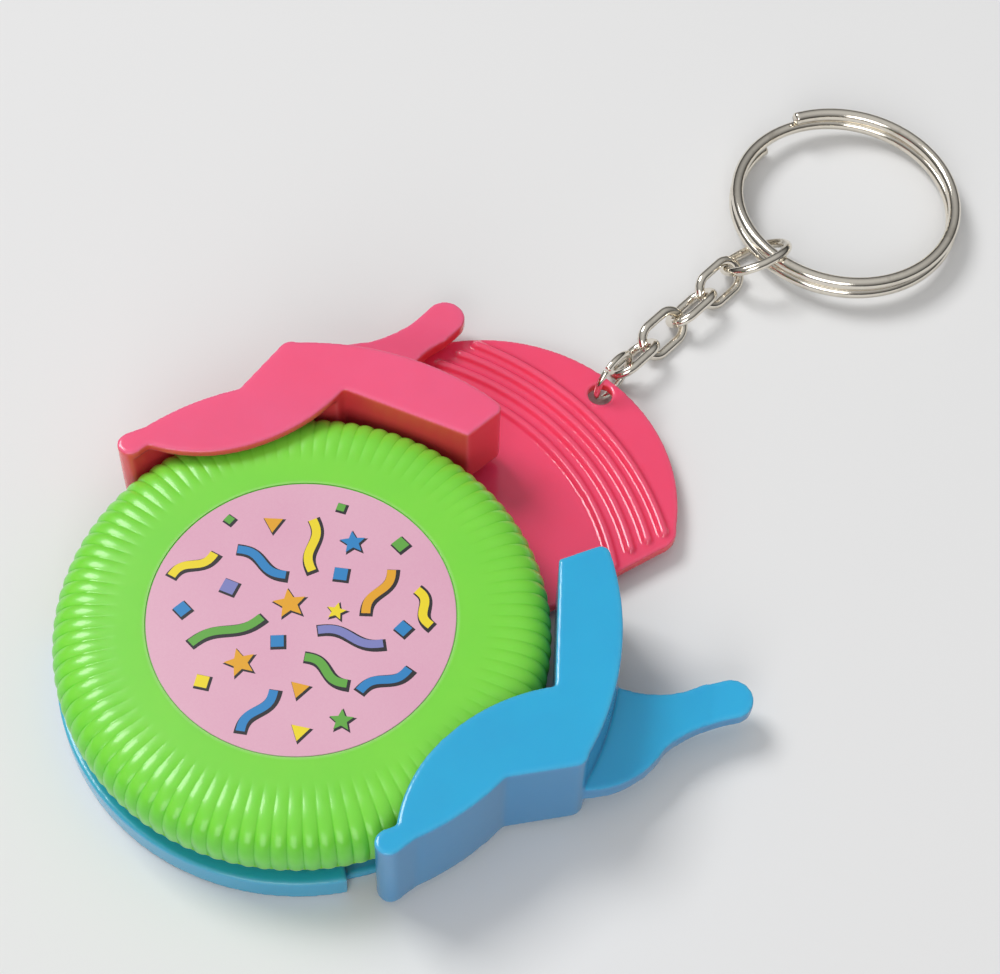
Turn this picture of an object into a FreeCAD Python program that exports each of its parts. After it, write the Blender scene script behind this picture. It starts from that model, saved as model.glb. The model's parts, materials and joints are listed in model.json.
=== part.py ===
import FreeCAD, Part
import math
import os

# Key-ring claw toy: a ribbed disc held between two claws that open like scissors.
# Millimetres.  The origin is on the pivot axis, on the plane the toy rests on.
# +X runs along the middle of the grip fan towards the key ring, +Z is up.

V = FreeCAD.Vector
UP = V(0, 0, 1)

# Heights of the layers
BASE_THICK = 1.0
FAN_BOTTOM = 1.1
FAN_TOP = 2.3
SEAT_TOP = 3.8
LEVER_TOP = 5.8
LEVER_TIP_BOTTOM = 3.0
LEVER_TIP_TOP = 4.5
LOBE_UNDERSIDE = 11.0
CLAW_TOP = 12.0

# Disc
DISC_BOTTOM = 4.0
DISC_SPLIT = 5.5
DISC_TOP = 10.5
DISC_R = 23.4
DISC_FLAT_R = 19.4
DISC_WALL = 1.2
LABEL_R = 14.4
LABEL_THICK = 0.12
BACK_OPENING_R = 9.6

# Pivot
SHAFT_R = 2.0
RUNNING_GAP = 0.05
BORE_R = SHAFT_R + RUNNING_GAP
HEAD_R = 3.6
HEAD_DEPTH = 0.6
SHAFT_TOP = 9.35
SCREW_R = 1.0
SCREW_DEPTH = 4.0
WASHER_THICK = 0.3
SCREW_HEAD_R = 2.6
SCREW_HEAD_THICK = 0.6

# Return spring round the pivot boss
BOSS_R = 4.1
BOSS_TOP = 6.9
SPRING_WIRE = 0.7
SPRING_R = 4.9
SPRING_PITCH = 0.85
SPRING_TURNS = 4.5
SPRING_LEG_R = 8.2
PEG_R = 0.7
PEG_AT = (7.3, -1.1)

# Claws: the mirror line between them, and how far one can turn towards the other
MIRROR_DEG = -14.6
CLAW_TRAVEL_DEG = 29.0
FAN_SIDE = 1
BASE_SIDE = -1
DISC_GAP = 0.3
ARM_LINE = DISC_R + DISC_GAP
ARM_OUTER_R = 29.9
TIP_OUTER_R = 25.4
PIN_R = 0.8
SEAT_BACK_R = 27.4
SEAT_FROM_DEG = 51.0
SEAT_BACK_DEG = 65.0
SEAT_TO_DEG = 97.0
SKIRT_FROM_DEG = 53.0
SKIRT_TO_DEG = 110.0
SKIRT_GAP_DEG = 0.2
PIN_SPOTS = ((25.6, 56.0), (25.9, 63.0))

# Grip fan
HUB_R = 21.4
FAN_ARC_X = 24.9
FAN_ARC_R = 19.4
FAN_CORNER = (34.3, 17.2)
FAN_ROOT = (20.3, 13.3)
RIDGE_CENTRE = (6.6, 2.5)
RIDGES = ((33.1, -33.4, 19.0), (31.3, -34.2, 21.0), (29.4, -35.5, 24.0), (27.4, -38.5, 28.0))
RIDGE_R = 0.5
KEY_HOLE_X = 42.3
KEY_HOLE_R = 1.25

# Base rim, on the open side where the disc looks out
RIM_INNER_R = 21.9
RIM_OUTER_R = 23.6
RIM_TOP = 3.0
RIM_FROM_DEG = 125.0
RIM_TO_DEG = 235.0

# Key chain
WIRE = 1.0
LINK_LENGTH = 6.7
LINK_WIDTH = 4.4
LINK_SLACK = 0.1
LINK_ROLL = 45.0
LINK_COUNT = 4
LINK_Z = 1.75
FIRST_LINK_X = 48.3
CHAIN_Y = 0.65
JUMP_WIRE = 0.7
JUMP_R = 2.7
JUMP_YAW = 4.0
JUMP_OFFSET = 2.1
JUMP_Z = 3.2
END_LENGTH = 8.2
END_WIDTH = 7.4
END_ROLL = 42.0
END_YAW = 14.0
END_SHIFT_X = -0.6
END_SHIFT_Y = -0.1
END_Z = 2.66
RING_R = 12.5
RING_WIRE = 1.35
RING_PITCH = 1.42
RING_TURNS = 1.95
RING_CENTRE = (79.4, -2.4)
RING_TILT = 2.9
RING_START_DEG = 86.0
RING_START_Z = 0.4


def polar(radius, degrees, z=0.0):
    """A point given by its distance from the pivot axis and its angle."""
    angle = math.radians(degrees)
    return V(radius * math.cos(angle), radius * math.sin(angle), z)


def claw_polar(radius, degrees, side):
    """A point whose angle is counted from the mirror line towards one claw."""
    return polar(radius, MIRROR_DEG + side * degrees)


def claw_xy(along, across, side):
    """A point given along and across the mirror line, across towards one claw."""
    turn = FreeCAD.Rotation(UP, MIRROR_DEG)
    return turn.multVec(V(along, side * across, 0))


def cylinder(radius, z0, z1, x=0.0, y=0.0):
    return Part.makeCylinder(radius, z1 - z0, V(x, y, z0), UP)


def closed_face(start, steps, z):
    """A flat face; each step is (end,) for a line or (middle, end) for an arc."""
    edges = []
    here = start
    for step in steps:
        if len(step) == 1:
            edges.append(Part.LineSegment(here, step[0]).toShape())
        else:
            edges.append(Part.Arc(here, step[0], step[1]).toShape())
        here = step[-1]
    face = Part.Face(Part.Wire(edges))
    face.translate(V(0, 0, z))
    return face


def prism(face, height):
    return face.extrude(V(0, 0, height))


def sector(inner, outer, from_deg, to_deg, z0, z1):
    """A piece of a ring round the pivot axis."""
    middle = (from_deg + to_deg) / 2
    steps = (
        (polar(outer, middle), polar(outer, to_deg)),
        (polar(inner, to_deg),),
        (polar(inner, middle), polar(inner, from_deg)),
        (polar(outer, from_deg),),
    )
    return prism(closed_face(polar(outer, from_deg), steps, z0), z1 - z0)


def claw_sector(inner, outer, from_deg, to_deg, side, z0, z1):
    """A ring piece whose angles are counted from the mirror line."""
    ends = sorted((MIRROR_DEG + side * from_deg, MIRROR_DEG + side * to_deg))
    return sector(inner, outer, ends[0], ends[1], z0, z1)


def revolved(points):
    """A solid of revolution from (radius, z) points; a triple starts with an arc's middle."""
    here = V(points[0][0], 0, points[0][1])
    first = here
    edges = []
    for point in points[1:]:
        end = V(point[-2], 0, point[-1])
        if len(point) == 4:
            edges.append(Part.Arc(here, V(point[0], 0, point[1]), end).toShape())
        else:
            edges.append(Part.LineSegment(here, end).toShape())
        here = end
    edges.append(Part.LineSegment(here, first).toShape())
    return Part.Face(Part.Wire(edges)).revolve(V(0, 0, 0), UP, 360)


# ---- claws ----------------------------------------------------------------

def claw_outline(side, z):
    """The claw from above: arm, leaf-shaped lobe, blunt tip and outer back."""
    def at(radius, degrees):
        return claw_polar(radius, degrees, side)

    def on_arm_line(degrees):
        return at(ARM_LINE / math.cos(math.radians(degrees - 34.5)), degrees)

    start = on_arm_line(19.2)
    steps = (
        (on_arm_line(50.5),),
        (claw_xy(10.5, 17.75, side), claw_xy(5.0, 18.05, side)),
        (claw_xy(0.6, 19.65, side), claw_xy(-3.6, 23.2, side)),
        (at(23.5, 101.0),),
        (at(24.8, 104.6), at(26.0, 101.0)),
        (at(TIP_OUTER_R, 96.5),),
        (at(TIP_OUTER_R, 86.0), at(TIP_OUTER_R, 74.0)),
        (at(29.7, 64.3),),
        (at(30.2, 62.8), at(30.1, 61.0)),
        (at(ARM_OUTER_R, 40.0), at(ARM_OUTER_R - 0.4, 19.6)),
        (at(29.1, 18.3), at(28.3, 18.0)),
        (start,),
    )
    return closed_face(start, steps, z)


def lever_outline(side, z):
    """The finger lever: an S-curved tongue that leaves the claw's back."""
    def at(along, across):
        return claw_xy(along, across, side)

    steps = (
        (at(25.4, 22.0), at(29.8, 23.2)),
        (at(31.9, 23.85),),
        (at(33.5, 26.4), at(30.9, 27.85)),
        (at(27.2, 26.9), at(23.1, 27.0)),
        (at(18.5, 28.1), at(14.2, 27.0)),
        (at(15.5, 22.0),),
        (at(22.0, 18.8),),
    )
    return closed_face(at(22.0, 18.8), steps, z)


def lever(side):
    """The tongue, sloping down and thinning from the claw's back to its tip."""
    slab = revolved((
        (18.0, SEAT_TOP),
        (29.0, SEAT_TOP),
        (39.0, LEVER_TIP_BOTTOM),
        (44.0, LEVER_TIP_BOTTOM),
        (44.0, LEVER_TIP_TOP),
        (39.0, LEVER_TIP_TOP),
        (30.0, LEVER_TOP),
        (18.0, LEVER_TOP),
    ))
    return prism(lever_outline(side, 0), CLAW_TOP).common(slab)


def pin_points(side):
    return [claw_polar(radius, degrees, side) for radius, degrees in PIN_SPOTS]


def claw(side):
    """One claw moulding: wall beside the disc, lobe over it, arm behind, lever outside."""
    body = prism(claw_outline(side, SEAT_TOP), CLAW_TOP - SEAT_TOP)
    body = body.cut(cylinder(ARM_LINE, 0, LOBE_UNDERSIDE))
    body = body.cut(claw_sector(25.8, 28.6, 22.0, 36.0, side, 0, CLAW_TOP - DISC_WALL))
    body = body.fuse(lever(side))
    if side == BASE_SIDE:
        body = body.fuse(claw_skirt(side, BASE_THICK))
    for spot in pin_points(side):
        body = body.cut(cylinder(PIN_R, 0, LEVER_TOP + 2.0, spot.x, spot.y))
    return body.removeSplitter()


def claw_pins(side, bottom):
    """Two pins that hold a claw on its plate."""
    return [cylinder(PIN_R, bottom, LEVER_TOP + 2.0, spot.x, spot.y) for spot in pin_points(side)]


def claw_seat(side, bottom):
    """The raised land a claw stands on: under its thick back, then under its tip."""
    back = claw_sector(RIM_INNER_R, SEAT_BACK_R, SEAT_FROM_DEG, SEAT_BACK_DEG, side, bottom, SEAT_TOP)
    tip = claw_sector(RIM_INNER_R, RIM_OUTER_R, SEAT_BACK_DEG - 1.0, SEAT_TO_DEG, side, bottom, SEAT_TOP)
    return back.fuse(tip)


def claw_skirt(side, bottom):
    """The lower wall of the claw on the base, which hides the land behind it."""
    wall = prism(claw_outline(side, bottom), SEAT_TOP - bottom)
    reach = claw_sector(ARM_LINE, ARM_OUTER_R + 1.0, SKIRT_FROM_DEG, SKIRT_TO_DEG, side, 0, SEAT_TOP)
    land_r = SEAT_BACK_R + RUNNING_GAP
    land_to = SEAT_BACK_DEG + SKIRT_GAP_DEG
    land = claw_sector(HUB_R, land_r, SEAT_FROM_DEG - 6.0, land_to, side, 0, SEAT_TOP)
    return wall.common(reach).cut(land)


# ---- plates ---------------------------------------------------------------

def fan_face(z):
    corner_x, corner_y = FAN_CORNER
    root_x, root_y = FAN_ROOT
    half = math.atan2(corner_y, corner_x - FAN_ARC_X)
    bend = V(FAN_ARC_X + FAN_ARC_R * math.cos(half - 0.09), FAN_ARC_R * math.sin(half - 0.09), 0)
    turn = V(corner_x - 1.5, corner_y - 0.48, 0)
    knee = V(corner_x - 0.15, corner_y - 0.25, 0)
    steps = (
        (V(turn.x, -turn.y, 0),),
        (V(knee.x, -knee.y, 0), V(bend.x, -bend.y, 0)),
        (V(FAN_ARC_X + FAN_ARC_R, 0, 0), bend),
        (knee, turn),
        (V(root_x, root_y, 0),),
        (V(5, 0, 0),),
        (V(root_x, -root_y, 0),),
    )
    return closed_face(V(root_x, -root_y, 0), steps, z)


def ridge(radius, from_deg, to_deg):
    """One raised grip ridge with rounded ends, half of it standing out of the fan."""
    centre = V(RIDGE_CENTRE[0], RIDGE_CENTRE[1], FAN_TOP)
    bar = Part.makeTorus(radius, RIDGE_R, centre, UP, -180, 180, to_deg - from_deg)
    bar.rotate(centre, UP, from_deg)
    for degrees in (from_deg, to_deg):
        bar = bar.fuse(Part.makeSphere(RIDGE_R, centre + polar(radius, degrees)))
    return bar


def fan_plate():
    """Hub plate, grip fan with ridges, seat for the near claw and the spring's boss."""
    body = cylinder(HUB_R, FAN_BOTTOM, FAN_TOP)
    body = body.fuse(prism(fan_face(FAN_BOTTOM), FAN_TOP - FAN_BOTTOM))
    body = body.fuse(claw_seat(FAN_SIDE, FAN_BOTTOM))
    inner = HUB_R - 0.5
    body = body.fuse(
        claw_sector(inner, RIM_OUTER_R, SEAT_FROM_DEG, SEAT_TO_DEG, FAN_SIDE, FAN_BOTTOM, FAN_TOP)
    )
    body = body.fuse(cylinder(BOSS_R, FAN_TOP, BOSS_TOP))
    body = body.fuse(cylinder(PEG_R, FAN_TOP, BOSS_TOP, PEG_AT[0], PEG_AT[1]))
    for radius, from_deg, to_deg in RIDGES:
        body = body.fuse(ridge(radius, from_deg, to_deg))
    body = body.cut(cylinder(BORE_R, 0, BOSS_TOP + 1))
    body = body.cut(cylinder(KEY_HOLE_R, 0, FAN_TOP + 1, KEY_HOLE_X, 0))
    slot_from = 180.0 - 8.0
    slot_to = 180.0 + CLAW_TRAVEL_DEG + 8.0
    body = body.cut(sector(SPRING_LEG_R - 0.7, SPRING_LEG_R + 0.7, slot_from, slot_to, 0, FAN_TOP + 1))
    for spot in pin_points(FAN_SIDE):
        body = body.cut(cylinder(PIN_R, 0, SEAT_TOP + 1, spot.x, spot.y))
    return body.removeSplitter()


def base_plate():
    """Round base with the rim that shows under the disc and the seat for the far claw."""
    body = cylinder(RIM_INNER_R + 0.5, 0, BASE_THICK)
    rim = sector(RIM_INNER_R, RIM_OUTER_R, RIM_FROM_DEG, RIM_TO_DEG, 0, RIM_TOP)
    body = body.fuse(rim)
    body = body.fuse(claw_seat(BASE_SIDE, 0))
    body = body.cut(cylinder(SHAFT_R, 0, BASE_THICK))
    body = body.cut(cylinder(HEAD_R, 0, HEAD_DEPTH))
    body = body.cut(cylinder(SPRING_WIRE / 2 + 0.05, 0, BASE_THICK, -SPRING_LEG_R, 0))
    for spot in pin_points(BASE_SIDE):
        body = body.cut(cylinder(PIN_R, BASE_THICK, SEAT_TOP + 1, spot.x, spot.y))
    return body.removeSplitter()


# ---- pivot ----------------------------------------------------------------

def pivot_shaft():
    """A headed shaft, pressed into the base, that everything turns on."""
    body = cylinder(SHAFT_R, 0, SHAFT_TOP)
    body = body.fuse(cylinder(HEAD_R, 0, HEAD_DEPTH))
    return body.cut(cylinder(SCREW_R, SHAFT_TOP - SCREW_DEPTH, SHAFT_TOP)).removeSplitter()


def retaining_washer():
    ring = cylinder(3.4, SHAFT_TOP, SHAFT_TOP + WASHER_THICK)
    return ring.cut(cylinder(SCREW_R + RUNNING_GAP, SHAFT_TOP, SHAFT_TOP + WASHER_THICK))


def retaining_screw():
    """Cross-recessed screw in the top of the shaft, under the label."""
    under_head = SHAFT_TOP + WASHER_THICK
    top = under_head + SCREW_HEAD_THICK
    body = cylinder(SCREW_R, SHAFT_TOP - SCREW_DEPTH + 0.3, under_head)
    body = body.fuse(cylinder(SCREW_HEAD_R, under_head, top))
    for size_x, size_y in ((2.4, 0.5), (0.5, 2.4)):
        body = body.cut(Part.makeBox(size_x, size_y, 0.4, V(-size_x / 2, -size_y / 2, top - 0.3)))
    return body.removeSplitter()


def return_spring():
    """Torsion spring: coil round the boss, one leg down to the base, one against the fan's peg."""
    low = FAN_TOP + SPRING_WIRE / 2 + 0.05
    high = low + SPRING_PITCH * SPRING_TURNS
    helix = Part.makeHelix(SPRING_PITCH, SPRING_PITCH * SPRING_TURNS, SPRING_R)
    helix.rotate(V(0, 0, 0), UP, 180)
    helix.translate(V(0, 0, low))
    section = Part.Wire(Part.makeCircle(SPRING_WIRE / 2, V(-SPRING_R, 0, low), V(0, 1, 0)))
    coil = Part.Wire(helix.Edges).makePipeShell([section], True, True)
    radius = SPRING_WIRE / 2
    lower_arm = Part.makeCylinder(radius, SPRING_LEG_R - SPRING_R, V(-SPRING_R, 0, low), V(-1, 0, 0))
    knee = Part.makeSphere(radius, V(-SPRING_LEG_R, 0, low))
    drop = Part.makeCylinder(radius, low - 0.3, V(-SPRING_LEG_R, 0, 0.3), UP)
    upper_arm = Part.makeCylinder(radius, SPRING_LEG_R - SPRING_R, V(SPRING_R, 0, high), V(1, 0, 0))
    return coil.fuse([lower_arm, knee, drop, upper_arm])


# ---- disc -----------------------------------------------------------------

def disc_cover():
    """Upper shell of the disc with its bearing boss and the recess for screw and label."""
    plate_under = DISC_TOP - DISC_WALL - 0.1
    hub_top = SHAFT_TOP - RUNNING_GAP
    recess = DISC_TOP - LABEL_THICK
    inner_r = DISC_R - 0.1 - DISC_WALL
    return revolved((
        (LABEL_R + 0.1, DISC_TOP),
        (DISC_FLAT_R, DISC_TOP),
        (22.05, 9.45, DISC_R, 7.0),
        (DISC_R - 0.1, DISC_SPLIT),
        (inner_r, DISC_SPLIT),
        (inner_r, 7.2),
        (21.1, 8.6, DISC_FLAT_R - 0.4, plate_under),
        (5.2, plate_under),
        (5.2, 7.4),
        (BORE_R, 7.4),
        (BORE_R, hub_top),
        (3.8, hub_top),
        (3.8, recess),
        (LABEL_R + 0.1, recess),
    ))


def disc_back():
    """Lower shell of the disc, open in the middle round the spring, with a locating lip."""
    lip_outer = DISC_R - 0.2 - DISC_WALL
    lip_inner = lip_outer - DISC_WALL
    return revolved((
        (DISC_R - 0.2, DISC_SPLIT),
        (22.2, 4.45, 20.8, DISC_BOTTOM),
        (BACK_OPENING_R, DISC_BOTTOM),
        (BACK_OPENING_R, DISC_BOTTOM + 1.0),
        (lip_inner - 0.3, DISC_BOTTOM + 1.0),
        (lip_inner, DISC_BOTTOM + 1.3),
        (lip_inner, 6.8),
        (lip_outer, 6.8),
        (lip_outer, DISC_SPLIT),
    ))


def disc_label():
    return cylinder(LABEL_R, DISC_TOP - LABEL_THICK, DISC_TOP)


# ---- key chain ------------------------------------------------------------

def oval_link(length, width, wire):
    """A closed oval link in the XY plane, centred on the origin, long side along X."""
    bend = (width - wire) / 2
    half_run = (length - width) / 2
    shape = None
    for sign in (-1, 1):
        end = Part.makeTorus(bend, wire / 2, V(0, 0, 0), UP, -180, 180, 180)
        end.rotate(V(0, 0, 0), UP, -90 * sign)
        end.translate(V(sign * half_run, 0, 0))
        run = Part.makeCylinder(wire / 2, 2 * half_run, V(-half_run, sign * bend, 0), V(1, 0, 0))
        shape = end.fuse(run) if shape is None else shape.fuse([end, run])
    return shape.removeSplitter()


def link_pitch():
    return LINK_LENGTH - 2 * WIRE - LINK_SLACK


def chain_link(index):
    """Links lie on alternate diagonals, as a small chain does on a table."""
    roll = -LINK_ROLL if index % 2 == 0 else LINK_ROLL
    centre = V(FIRST_LINK_X + index * link_pitch(), CHAIN_Y, LINK_Z)
    link = oval_link(LINK_LENGTH, LINK_WIDTH, WIRE)
    link.rotate(V(0, 0, 0), V(1, 0, 0), roll)
    link.translate(centre)
    return link


def end_link():
    """The larger last link, which takes the split ring."""
    last = FIRST_LINK_X + (LINK_COUNT - 1) * link_pitch()
    link_end = last + (LINK_LENGTH - WIRE) / 2 - WIRE - LINK_SLACK / 2
    link = oval_link(END_LENGTH, END_WIDTH, WIRE)
    link.translate(V((END_LENGTH - WIRE) / 2, 0, 0))
    link.rotate(V(0, 0, 0), V(1, 0, 0), -END_ROLL)
    link.rotate(V(0, 0, 0), UP, -END_YAW)
    link.translate(V(link_end + END_SHIFT_X, CHAIN_Y + END_SHIFT_Y, END_Z))
    return link


def jump_ring():
    """The upright ring through the fan's hole."""
    yaw = math.radians(JUMP_YAW)
    centre = V(KEY_HOLE_X + JUMP_OFFSET * math.cos(yaw), JUMP_OFFSET * math.sin(yaw), JUMP_Z)
    normal = V(-math.sin(yaw), math.cos(yaw), 0)
    return Part.makeTorus(JUMP_R, JUMP_WIRE / 2, centre, normal)


def split_ring():
    """Two close turns of round wire, tipped up a little where the end link passes under."""
    mean = RING_R - RING_WIRE / 2
    helix = Part.makeLongHelix(RING_PITCH, RING_PITCH * RING_TURNS, mean)
    section = Part.makeCircle(RING_WIRE / 2, V(mean, 0, 0), V(0, 1, 0))
    for line in (helix, section):
        line.rotate(V(0, 0, 0), UP, RING_START_DEG)
        line.translate(V(RING_CENTRE[0], RING_CENTRE[1], RING_START_Z))
        line.rotate(V(RING_CENTRE[0] + RING_R, 0, 0), V(0, 1, 0), RING_TILT)
    return Part.Wire(helix.Edges).makePipeShell([Part.Wire(section)], True, True)


def write(name, shape):
    solids = shape if isinstance(shape, list) else [shape]
    whole = Part.makeCompound(solids) if len(solids) > 1 else solids[0]
    whole.exportStep("parts/" + name + ".step")
    print(name, "valid", whole.isValid(), "volume", round(whole.Volume, 2), whole.BoundBox)


def main():
    os.makedirs("parts", exist_ok=True)
    write("fan_plate", fan_plate())
    write("fan_claw", claw(FAN_SIDE))
    write("fan_claw_pins", claw_pins(FAN_SIDE, FAN_BOTTOM))
    write("base_plate", base_plate())
    write("base_claw", claw(BASE_SIDE))
    write("base_claw_pins", claw_pins(BASE_SIDE, BASE_THICK))
    write("pivot_shaft", pivot_shaft())
    write("retaining_washer", retaining_washer())
    write("retaining_screw", retaining_screw())
    write("return_spring", return_spring())
    write("disc_cover", disc_cover())
    write("disc_back", disc_back())
    write("disc_label", disc_label())
    write("jump_ring", jump_ring())
    for index in range(LINK_COUNT):
        write("chain_link_%d" % (index + 1), chain_link(index))
    write("end_link", end_link())
    write("split_ring", split_ring())


main()
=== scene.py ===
"""Looks of a key-ring claw toy: two plastic claws, a ribbed disc and a steel key chain.

Everything is in metres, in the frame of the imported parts: the disc turns about the Z
axis, +X runs along the grip fan towards the key ring and the toy rests on z = 0.
"""

import json
import logging
import math
from dataclasses import dataclass
from enum import Enum
from functools import cache
from typing import Iterable, Sequence, Union

import bmesh
import bpy
import numpy as np
from mathutils import Matrix, Vector

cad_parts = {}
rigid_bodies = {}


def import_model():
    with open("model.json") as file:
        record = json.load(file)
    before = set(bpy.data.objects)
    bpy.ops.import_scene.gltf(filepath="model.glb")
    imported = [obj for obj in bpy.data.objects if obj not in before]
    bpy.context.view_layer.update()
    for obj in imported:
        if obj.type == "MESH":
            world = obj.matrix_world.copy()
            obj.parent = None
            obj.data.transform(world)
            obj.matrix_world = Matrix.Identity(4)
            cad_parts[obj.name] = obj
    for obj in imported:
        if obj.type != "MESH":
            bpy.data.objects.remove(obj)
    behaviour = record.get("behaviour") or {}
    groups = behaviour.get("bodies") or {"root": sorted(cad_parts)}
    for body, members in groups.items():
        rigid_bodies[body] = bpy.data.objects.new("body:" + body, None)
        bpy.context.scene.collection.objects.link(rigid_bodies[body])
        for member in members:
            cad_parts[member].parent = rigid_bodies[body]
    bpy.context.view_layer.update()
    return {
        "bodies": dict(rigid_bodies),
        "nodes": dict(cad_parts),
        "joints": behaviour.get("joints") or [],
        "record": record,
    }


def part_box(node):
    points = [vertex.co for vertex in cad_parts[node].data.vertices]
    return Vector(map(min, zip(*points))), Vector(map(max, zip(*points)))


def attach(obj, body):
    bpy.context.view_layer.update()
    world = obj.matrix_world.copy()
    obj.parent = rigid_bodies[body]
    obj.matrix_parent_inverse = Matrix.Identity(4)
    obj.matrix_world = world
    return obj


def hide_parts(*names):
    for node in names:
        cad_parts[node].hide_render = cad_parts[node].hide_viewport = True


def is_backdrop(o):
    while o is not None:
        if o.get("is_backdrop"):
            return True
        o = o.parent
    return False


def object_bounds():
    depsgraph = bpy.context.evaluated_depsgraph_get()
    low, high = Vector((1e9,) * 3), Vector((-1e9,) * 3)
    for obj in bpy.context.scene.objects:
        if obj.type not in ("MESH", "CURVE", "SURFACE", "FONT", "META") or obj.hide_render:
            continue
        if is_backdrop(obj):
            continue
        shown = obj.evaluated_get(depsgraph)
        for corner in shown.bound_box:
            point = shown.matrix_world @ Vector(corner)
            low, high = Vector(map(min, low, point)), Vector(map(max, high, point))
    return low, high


LOG = logging.getLogger("claw_toy")
MM = 0.001
Point = tuple[float, float]
Colour = tuple[float, float, float]
HOLLOW = "hollow"
RIDGE = "ridge"


def linear(red: int, green: int, blue: int) -> Colour:
    """Turn an 8-bit display colour into linear light.

    Args:
        red: 0 to 255.
        green: 0 to 255.
        blue: 0 to 255.

    Returns:
        The linear colour.
    """
    def one(value: int) -> float:
        """Turn one channel."""
        share = value / 255
        return share / 12.92 if share <= 0.04045 else ((share + 0.055) / 1.055) ** 2.4

    return one(red), one(green), one(blue)


# ---- shader building --------------------------------------------------------


class Socket:
    """One output socket, with Python's operators standing for Math nodes."""

    def __init__(self, graph: "Graph", output: bpy.types.NodeSocket) -> None:
        """Keep the socket and the graph that it belongs to.

        Args:
            graph: the node graph.
            output: the socket.
        """
        self.graph = graph
        self.output = output

    def _math(self, operation: str, first: "Value", second: "Value") -> "Socket":
        """Add one Math node.

        Args:
            operation: what it does.
            first: its first input.
            second: its second input.

        Returns:
            Its output.
        """
        return self.graph.node("ShaderNodeMath", {"operation": operation}, {0: first, 1: second})

    def __add__(self, other: "Value") -> "Socket":
        """Add."""
        return self._math("ADD", self, other)

    __radd__ = __add__

    def __sub__(self, other: "Value") -> "Socket":
        """Subtract."""
        return self._math("SUBTRACT", self, other)

    def __rsub__(self, other: "Value") -> "Socket":
        """Subtract this from a number."""
        return self._math("SUBTRACT", other, self)

    def __mul__(self, other: "Value") -> "Socket":
        """Multiply."""
        return self._math("MULTIPLY", self, other)

    __rmul__ = __mul__

    def __truediv__(self, other: "Value") -> "Socket":
        """Divide."""
        return self._math("DIVIDE", self, other)

    def __pow__(self, other: "Value") -> "Socket":
        """Raise to a power."""
        return self._math("POWER", self, other)

    def clamped(self, low: float, high: float) -> "Socket":
        """Keep the value between two limits.

        Args:
            low: the lower limit.
            high: the upper limit.

        Returns:
            The limited value.
        """
        return self._math("MINIMUM", self._math("MAXIMUM", self, low), high)


Value = Union[Socket, float, Sequence[float]]


class Graph:
    """A node tree under construction, where every node comes from one method."""

    def __init__(self, tree: bpy.types.NodeTree) -> None:
        """Start on a tree, emptied.

        Args:
            tree: the tree of a material or of the world.
        """
        self.tree = tree
        self.tree.nodes.clear()

    def add(
        self, kind: str, settings: dict[str, object], inputs: dict[Union[str, int], Value]
    ) -> bpy.types.Node:
        """Add one node.

        Args:
            kind: the node's type.
            settings: its properties, and under "stops" a ramp's (place, colour) pairs.
            inputs: numbers, colours or sockets for its inputs.

        Returns:
            The node.
        """
        made = self.tree.nodes.new(kind)
        for key, setting in settings.items():
            if key == "stops":
                self.set_stops(made.color_ramp, setting)
            else:
                setattr(made, key, setting)
        for key, value in inputs.items():
            self.feed(made.inputs[key], value)
        return made

    def node(
        self,
        kind: str,
        settings: dict[str, object],
        inputs: dict[Union[str, int], Value],
        output: Union[str, int] = 0,
    ) -> Socket:
        """Add one node and give one of its outputs.

        Args:
            kind: the node's type.
            settings: its properties, as for add.
            inputs: its inputs, as for add.
            output: which output to give back.

        Returns:
            The chosen output.
        """
        return Socket(self, self.add(kind, settings, inputs).outputs[output])

    @staticmethod
    def set_stops(ramp: bpy.types.ColorRamp, stops: Sequence[tuple[float, Colour]]) -> None:
        """Give a ramp its stops.

        Args:
            ramp: the ramp, which starts with two stops.
            stops: (place, colour) pairs.
        """
        for index, (place, colour) in enumerate(stops):
            stop = ramp.elements[index] if index < 2 else ramp.elements.new(place)
            stop.position = place
            stop.color = (*colour, 1.0)

    def feed(self, target: bpy.types.NodeSocket, value: Value) -> None:
        """Link a socket or set a number or colour.

        Args:
            target: the input.
            value: what it gets.
        """
        if isinstance(value, Socket):
            self.tree.links.new(value.output, target)
        elif target.type == "RGBA" and len(value) == 3:
            target.default_value = (*value, 1.0)
        else:
            target.default_value = value


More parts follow.
